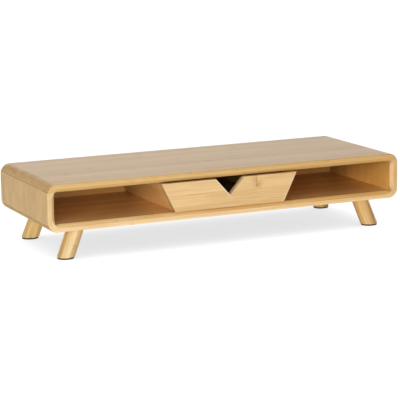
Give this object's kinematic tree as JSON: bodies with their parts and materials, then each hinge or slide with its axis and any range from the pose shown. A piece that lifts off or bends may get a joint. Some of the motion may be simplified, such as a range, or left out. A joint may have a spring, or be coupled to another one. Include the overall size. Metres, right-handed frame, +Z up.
{
  "type": "monitor stand with drawer",
  "caption": "Low bamboo monitor stand with rounded ends, two open compartments, a trapezoid drawer with a V finger notch and splayed round legs.",
  "frame": {"origin": "on the floor, under the middle of the stand", "axes": "+X to the right along the width, +Y to the back, +Z up"},
  "size_m": [0.6, 0.22, 0.119],
  "materials": {
    "bamboo_lengthwise": "clear satin lacquer, grain along the width, end grain at the round ends",
    "bamboo_upright": "clear satin lacquer, upright grain",
    "bamboo_back": "clear satin lacquer",
    "bamboo_divider": "clear satin lacquer, grain along the depth",
    "bamboo_leg": "clear satin lacquer, grain along the leg",
    "bamboo_front": "clear satin lacquer, grain along the width",
    "bamboo_drawer_box": "sanded, grain along the boards",
    "dowel_wood": "raw fluted dowel, glued",
    "foot_rubber": "matt dark pad"
  },
  "bodies": {
    "stand": {"top_panel": "bamboo_lengthwise", "bottom_panel": "bamboo_lengthwise", "left_side_panel": "bamboo_upright", "right_side_panel": "bamboo_upright", "back_panel": "bamboo_back", "divider_left": "bamboo_divider", "divider_right": "bamboo_divider", "leg_dowels": "dowel_wood", "leg_front_left": "bamboo_leg", "leg_front_right": "bamboo_leg", "leg_back_left": "bamboo_leg", "leg_back_right": "bamboo_leg", "foot_pad_front_left": "foot_rubber", "foot_pad_front_right": "foot_rubber", "foot_pad_back_left": "foot_rubber", "foot_pad_back_right": "foot_rubber"},
    "drawer": {"drawer_front": "bamboo_front", "drawer_side_left": "bamboo_drawer_box", "drawer_side_right": "bamboo_drawer_box", "drawer_back": "bamboo_drawer_box", "drawer_bottom": "bamboo_drawer_box", "drawer_dowels": "dowel_wood"}
  },
  "joints": [
    {"name": "drawer_slide", "type": "slide", "parent": "stand", "child": "drawer", "axis": [0, -1, 0], "range_m": [0, 0.14]}
  ]
}
